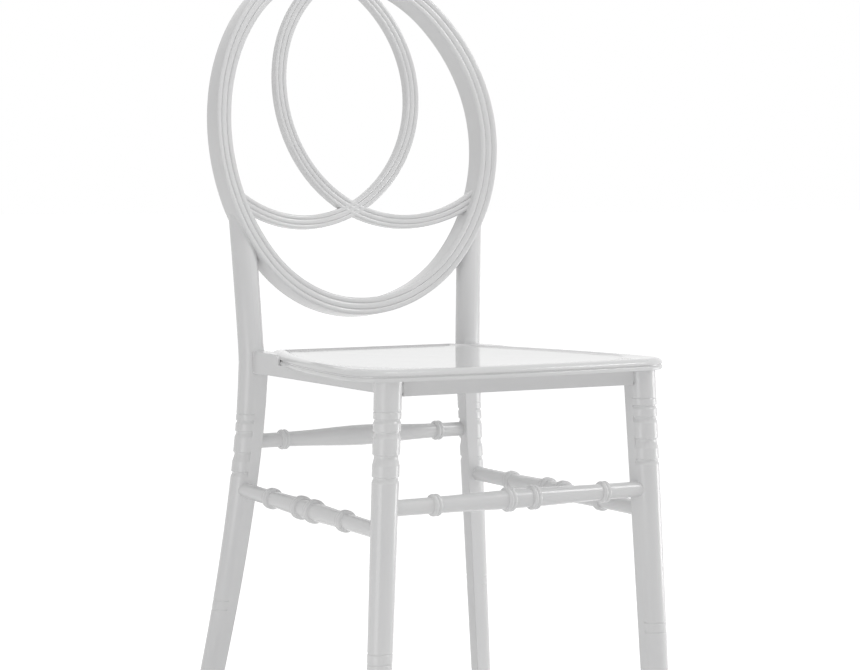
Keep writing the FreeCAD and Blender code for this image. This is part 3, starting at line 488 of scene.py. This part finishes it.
def rung(node, start, end, rings, swell, waist):
    """Turned bar: its radius at a distance along it is a neck, plus a broad hump in the middle
    that falls off as a bell, plus half a circle for each of the two beads of each ring."""
    start = np.array(start)
    end = np.array(end)
    length = np.linalg.norm(end - start)
    ahead = (end - start) / length
    along = [np.linspace(-length / 2, length / 2, 121)]
    for place in rings:
        along.append(np.linspace(place - RUNG_RING_REACH, place + RUNG_RING_REACH, 45))
    along = np.unique(np.concatenate(along))
    along = along[np.abs(along) <= length / 2]
    radius = RUNG_RADIUS + swell * np.exp(-(along / (length * waist)) ** 2)
    for place in rings:
        base = RUNG_RADIUS + swell * math.exp(-(place / (length * waist)) ** 2)
        for half in (-RUNG_BEAD_SET_OUT, RUNG_BEAD_SET_OUT):
            distance = (along - place - half) / RUNG_BEAD_HALF
            bead = np.sqrt(np.clip(1 - distance ** 2, 0, None))
            radius = np.maximum(radius, (base + RUNG_COLLAR) * (bead > 0) + RUNG_BEAD_RISE * bead)
    side = np.cross(ahead, (0, 0, 1))
    side = side / np.linalg.norm(side)
    over = np.cross(side, ahead)
    turn = np.linspace(0, 2 * math.pi, 40, endpoint=False)
    spoke = np.cos(turn)[:, None] * side + np.sin(turn)[:, None] * over
    middle = (start + end) / 2
    grid = middle + along[:, None, None] * ahead + radius[:, None, None] * spoke[None]
    return surface(node + "_skin", grid, False, True, frame_resin, node)


front_x, front_y = front_axis(FRONT_RUNG_Z)
rung("front_rung", (-front_x, front_y, FRONT_RUNG_Z), (front_x, front_y, FRONT_RUNG_Z),
     (-FRONT_RING_PLACE, -RUNG_PAIR_PLACE, RUNG_PAIR_PLACE, FRONT_RING_PLACE), RUNG_SWELL, RUNG_WAIST)
rear_x, rear_y = rear_axis(np.array(REAR_RUNG_Z))
rung("rear_rung", (-rear_x, rear_y, REAR_RUNG_Z), (rear_x, rear_y, REAR_RUNG_Z),
     (-REAR_RING_PLACE, REAR_RING_PLACE), REAR_RUNG_SWELL, REAR_RUNG_WAIST)
ahead_x, ahead_y = front_axis(SIDE_RUNG_FRONT_Z)
behind_x, behind_y = rear_axis(np.array(SIDE_RUNG_REAR_Z))
for side, node in ((-1, "side_rung_left"), (1, "side_rung_right")):
    rung(node, (side * ahead_x, ahead_y, SIDE_RUNG_FRONT_Z), (side * behind_x, behind_y, SIDE_RUNG_REAR_Z),
         (-SIDE_RING_PLACE, -RUNG_PAIR_PLACE, RUNG_PAIR_PLACE, SIDE_RING_PLACE), RUNG_SWELL, RUNG_WAIST)


# The corner blocks and their hardware: blocks of resin glued in the rails' corners, each with a
# zinc-plated bolt into the leg and a screw up into the seat plate.
def steel_material(name):
    """Zinc plating: bright grey metal with a faint crystal mottle."""
    material = bpy.data.materials.new(name)
    material.use_nodes = True
    nodes = material.node_tree.nodes
    links = material.node_tree.links
    shader = nodes["Principled BSDF"]
    shader.inputs["Metallic"].default_value = 1.0
    place = nodes.new("ShaderNodeTexCoord")
    mottle = nodes.new("ShaderNodeTexVoronoi")
    mottle.inputs["Scale"].default_value = 700.0
    links.new(place.outputs["Object"], mottle.inputs["Vector"])
    tint = nodes.new("ShaderNodeValToRGB")
    tint.color_ramp.elements[0].color = (0.52, 0.53, 0.56, 1)
    tint.color_ramp.elements[1].color = (0.68, 0.69, 0.71, 1)
    links.new(mottle.outputs["Color"], tint.inputs["Fac"])
    links.new(tint.outputs["Color"], shader.inputs["Base Color"])
    wander = nodes.new("ShaderNodeMapRange")
    wander.inputs["To Min"].default_value = 0.28
    wander.inputs["To Max"].default_value = 0.45
    links.new(mottle.outputs["Distance"], wander.inputs["Value"])
    links.new(wander.outputs["Result"], shader.inputs["Roughness"])
    return material


zinc_steel = steel_material("zinc_steel")
for corner in ("front_left", "front_right", "rear_left", "rear_right"):
    finish_node("corner_block_" + corner, rail_resin)
for hardware in ("corner_bolts", "corner_washers", "corner_nuts", "seat_screws", "loop_pins"):
    finish_node(hardware, zinc_steel)
finish_node("ring_dowels", rail_resin)


# The seat plate: one hard resin moulding that rests on the rails, wide in front and narrow
# between the posts. Its rim stands a little above the dished middle, and its edge is stepped.
# The seat's resin is the frame's white made a little lighter, 0.82 against 0.80: painted light standing for
# the brighter light on the seat's top. It is also glossier than the frame.
seat_resin = resin_material("seat_resin", (0.82, 0.82, 0.82), 0.09, 0.05)
SEAT_TOP = 0.450
PLATE_FRONT = -0.21605
PLATE_REAR = 0.14275
PLATE_FRONT_HALF = 0.203
PLATE_REAR_HALF = 0.1255
PLATE_SIDE_BOW = 0.017
PLATE_FRONT_BOW = 0.014
PLATE_FRONT_CORNER = 0.045
DISH_FRONT_CORNER = 0.111
PLATE_REAR_CORNER = 0.012
ROLL_FOOT = 0.0064
ROLL_WIDTH = 0.009
DISH_EDGE_DEPTH = 0.0018
DISH_CROWN = 0.0012


def circle_through(first, second, third):
    """Centre and radius of the circle through three points, where the lines that halve two of
    its chords cross."""
    rows = np.array([second - first, third - second])
    centre = np.linalg.solve(rows, np.array([rows[0] @ (first + second) / 2, rows[1] @ (second + third) / 2]))
    return centre, np.linalg.norm(first - centre)


def plate_arcs(front_corner):
    """Arcs of the right half of the seat's edge, from the middle of its front to the middle of
    its rear, as centre, radius, first angle and last angle. They meet without a corner: each
    corner's arc touches its two neighbours from inside."""
    front = np.array([PLATE_FRONT_HALF, PLATE_FRONT])
    rear = np.array([PLATE_REAR_HALF, PLATE_REAR])
    side, side_radius = circle_through(front, (front + rear) / 2 + (PLATE_SIDE_BOW, 0), rear)
    nose, nose_radius = circle_through(front * (-1, 1), np.array([0, PLATE_FRONT - PLATE_FRONT_BOW]), front)
    # front corner: at its radius less than each big radius from each big centre
    first = nose_radius - front_corner
    second = side_radius - front_corner
    between = side - nose
    apart = np.linalg.norm(between)
    along = (apart ** 2 + first ** 2 - second ** 2) / (2 * apart)
    out = math.sqrt(first ** 2 - along ** 2)
    ahead = between / apart
    options = [nose + ahead * along + turn * out * np.array([-ahead[1], ahead[0]]) for turn in (1, -1)]
    corner = max(options, key=lambda point: point[0])
    small_y = PLATE_REAR - PLATE_REAR_CORNER
    small_x = side[0] + math.sqrt((side_radius - PLATE_REAR_CORNER) ** 2 - (small_y - side[1]) ** 2)
    small = np.array([small_x, small_y])

    def angle(centre, point):
        return math.atan2(point[1] - centre[1], point[0] - centre[0])

    from_nose = angle(nose, corner)
    from_side = angle(side, corner)
    to_small = angle(side, small)
    return [
        (nose, nose_radius, -math.pi / 2, from_nose, 30),
        (corner, front_corner, from_nose, from_side, 36),
        (side, side_radius, from_side, to_small, 50),
        (small, PLATE_REAR_CORNER, to_small, math.pi / 2, 20),
    ]


def plate_edge(inset, front_corner):
    """Points of the whole edge, inset by each of several distances. The straight rear joins the
    two small corners by itself."""
    centres = []
    radii = []
    angles = []
    for centre, radius, first, last, steps in plate_arcs(front_corner):
        turn = np.linspace(first, last, steps)
        centres.append(np.repeat(centre[None], steps, axis=0))
        radii.append(np.full(steps, radius))
        angles.append(turn)
    centres = np.concatenate(centres)
    radii = np.concatenate(radii)
    angles = np.concatenate(angles)
    reach = np.maximum(radii[None] - inset[:, None], 0.0004)
    x = centres[None, :, 0] + reach * np.cos(angles)[None]
    y = centres[None, :, 1] + reach * np.sin(angles)[None]
    right = np.stack([x, y], axis=-1)
    left = right[:, ::-1] * (-1, 1)
    return np.concatenate([right, left[:, :-1]], axis=1)


def seat_plate():
    """Skin of the seat: rings of the edge at insets and heights up its stepped side and over its
    rolled rim, then rings of the dish's rounder outline, which leaves a crescent at each front
    corner, and last rings drawn in towards the middle across the dish and the underside."""
    low = PLATE_UNDERSIDE
    roll_low = low + ROLL_FOOT
    side = [
        (0.0006, low), (0.0002, low + 0.0004), (0.0, low + 0.0016), (0.0, low + 0.0034),
        (0.0005, low + 0.0041), (0.0015, low + 0.0043), (0.0015, low + 0.0056), (0.0005, low + 0.0058),
    ]
    for turn in np.linspace(0, math.pi / 2, 10):
        side.append((ROLL_WIDTH * (1 - math.cos(turn)), roll_low + (SEAT_TOP - roll_low) * math.sin(turn)))
    dish = [(0.0145, SEAT_TOP), (0.0155, SEAT_TOP - 0.0003), (0.0165, SEAT_TOP - 0.0009),
            (0.0175, SEAT_TOP - 0.0013), (0.020, SEAT_TOP - 0.0016), (0.026, SEAT_TOP - 0.0017)]
    parts = []
    for steps, front_corner in ((side, PLATE_FRONT_CORNER), (dish, DISH_FRONT_CORNER)):
        edge = plate_edge(np.array([step[0] for step in steps]), front_corner)
        height = np.array([step[1] for step in steps])[:, None, None]
        parts.append(np.concatenate([edge, np.broadcast_to(height, edge.shape[:2] + (1,))], axis=-1))
    rings = np.concatenate(parts)
    edge = rings[:, :, :2]
    middle = np.array([0.0, -0.04])
    share = np.linspace(0, 0.98, 14)[1:]
    top = middle + (edge[-1] - middle)[None] * (1 - share)[:, None, None]
    top_z = SEAT_TOP - DISH_EDGE_DEPTH - DISH_CROWN * np.sin(share * math.pi / 2)
    top = np.concatenate([top, np.broadcast_to(top_z[:, None, None], top.shape[:2] + (1,))], axis=-1)
    under = middle + (edge[0] - middle)[None] * np.linspace(0.02, 0.98, 8)[:, None, None]
    under = np.concatenate([under, np.full(under.shape[:2] + (1,), low)], axis=-1)
    grid = np.concatenate([under, rings, top])
    return surface("seat_plate_skin", grid, False, True, seat_resin, "seat_plate")


seat_plate()


# The foot glides: milky nylon discs with a stem pressed up into each leg.
def nylon_material(name):
    """Matte nylon with a faint mottle and fine scuffs."""
    material = bpy.data.materials.new(name)
    material.use_nodes = True
    nodes = material.node_tree.nodes
    links = material.node_tree.links
    shader = nodes["Principled BSDF"]
    place = nodes.new("ShaderNodeTexCoord")
    mottle = nodes.new("ShaderNodeTexNoise")
    mottle.inputs["Scale"].default_value = 120.0
    mottle.inputs["Detail"].default_value = 4.0
    links.new(place.outputs["Object"], mottle.inputs["Vector"])
    tint = nodes.new("ShaderNodeValToRGB")
    tint.color_ramp.elements[0].color = (0.58, 0.58, 0.56, 1)
    tint.color_ramp.elements[1].color = (0.74, 0.74, 0.72, 1)
    links.new(mottle.outputs["Fac"], tint.inputs["Fac"])
    links.new(tint.outputs["Color"], shader.inputs["Base Color"])
    wander = nodes.new("ShaderNodeMapRange")
    wander.inputs["To Min"].default_value = 0.45
    wander.inputs["To Max"].default_value = 0.7
    links.new(mottle.outputs["Fac"], wander.inputs["Value"])
    links.new(wander.outputs["Result"], shader.inputs["Roughness"])
    return material


glide_nylon = nylon_material("glide_nylon")
for corner in ("front_left", "front_right", "rear_left", "rear_right"):
    finish_node("foot_glide_" + corner, glide_nylon)


# The studio: a white floor that shows white to the camera and still takes the chair's shadow,
# an even white surround, and soft lamps above and low at the sides.
FLOOR_HALF = 90.0
FLOOR_GLOW = 0.6
SURROUND_LIGHT = 0.47


def seen_plainly(nodes, links):
    """Output that is one for rays from the camera and for rays that a gloss or a clear
    material sends on, and nought for the rays that light the object."""
    rays = nodes.new("ShaderNodeLightPath")
    seen = nodes.new("ShaderNodeMath")
    seen.operation = "MAXIMUM"
    links.new(rays.outputs["Is Camera Ray"], seen.inputs[0])
    links.new(rays.outputs["Is Glossy Ray"], seen.inputs[1])
    through = nodes.new("ShaderNodeMath")
    through.operation = "MAXIMUM"
    links.new(seen.outputs["Value"], through.inputs[0])
    links.new(rays.outputs["Is Transmission Ray"], through.inputs[1])
    return through.outputs["Value"]


def studio_white(name, extra):
    """White paint that adds a little light of its own where the camera, or a reflection, sees
    it, so that it reads as plain white."""
    material = bpy.data.materials.new(name)
    material.use_nodes = True
    nodes = material.node_tree.nodes
    links = material.node_tree.links
    shader = nodes["Principled BSDF"]
    shader.inputs["Base Color"].default_value = (0.9, 0.9, 0.9, 1)
    shader.inputs["Roughness"].default_value = 0.9
    strength = nodes.new("ShaderNodeMath")
    strength.operation = "MULTIPLY"
    strength.inputs[1].default_value = extra
    links.new(seen_plainly(nodes, links), strength.inputs[0])
    glow = nodes.new("ShaderNodeEmission")
    links.new(strength.outputs["Value"], glow.inputs["Strength"])
    both = nodes.new("ShaderNodeAddShader")
    links.new(shader.outputs["BSDF"], both.inputs[0])
    links.new(glow.outputs["Emission"], both.inputs[1])
    links.new(both.outputs["Shader"], nodes["Material Output"].inputs["Surface"])
    return material


floor_mesh = bpy.data.meshes.new("floor")
floor_corners = [(-FLOOR_HALF, -FLOOR_HALF, 0), (FLOOR_HALF, -FLOOR_HALF, 0),
                 (FLOOR_HALF, FLOOR_HALF, 0), (-FLOOR_HALF, FLOOR_HALF, 0)]
floor_mesh.from_pydata(floor_corners, [], [(0, 1, 2, 3)])
floor = bpy.data.objects.new("floor", floor_mesh)
bpy.context.scene.collection.objects.link(floor)
floor_mesh.materials.append(studio_white("floor_white", FLOOR_GLOW))

world = bpy.data.worlds.new("studio")
world.use_nodes = True
bpy.context.scene.world = world
world_nodes = world.node_tree.nodes
world_links = world.node_tree.links
surround = world_nodes["Background"]
surround.inputs["Color"].default_value = (1, 1, 1, 1)
world_strength = world_nodes.new("ShaderNodeMapRange")
world_strength.inputs["To Min"].default_value = SURROUND_LIGHT
world_strength.inputs["To Max"].default_value = 1.0
world_links.new(seen_plainly(world_nodes, world_links), world_strength.inputs["Value"])
world_links.new(world_strength.outputs["Result"], surround.inputs["Strength"])


def lamp(name, place, target, width, power):
    """Square soft lamp at a place, turned to a target."""
    data = bpy.data.lights.new(name, "AREA")
    data.shape = "SQUARE"
    data.size = width
    data.energy = power
    light = bpy.data.objects.new(name, data)
    light.location = place
    light.rotation_euler = (Vector(target) - Vector(place)).to_track_quat("-Z", "Y").to_euler()
    bpy.context.scene.collection.objects.link(light)


lamp("key_lamp", (2.2, -1.6, 2.6), (0, 0, 0.4), 0.9, 17.0)
lamp("fill_lamp", (-2.4, -1.4, 2.0), (0, 0, 0.5), 2.0, 6.0)
lamp("top_lamp", (0.3, -0.6, 2.6), (0, 0, 0.4), 1.0, 8.0)
lamp("low_right_lamp", (1.5, -0.5, 0.1), (0, 0, 0.2), 0.7, 6.0)
lamp("low_left_lamp", (-1.3, -0.6, 0.1), (0, 0, 0.2), 0.7, 2.5)
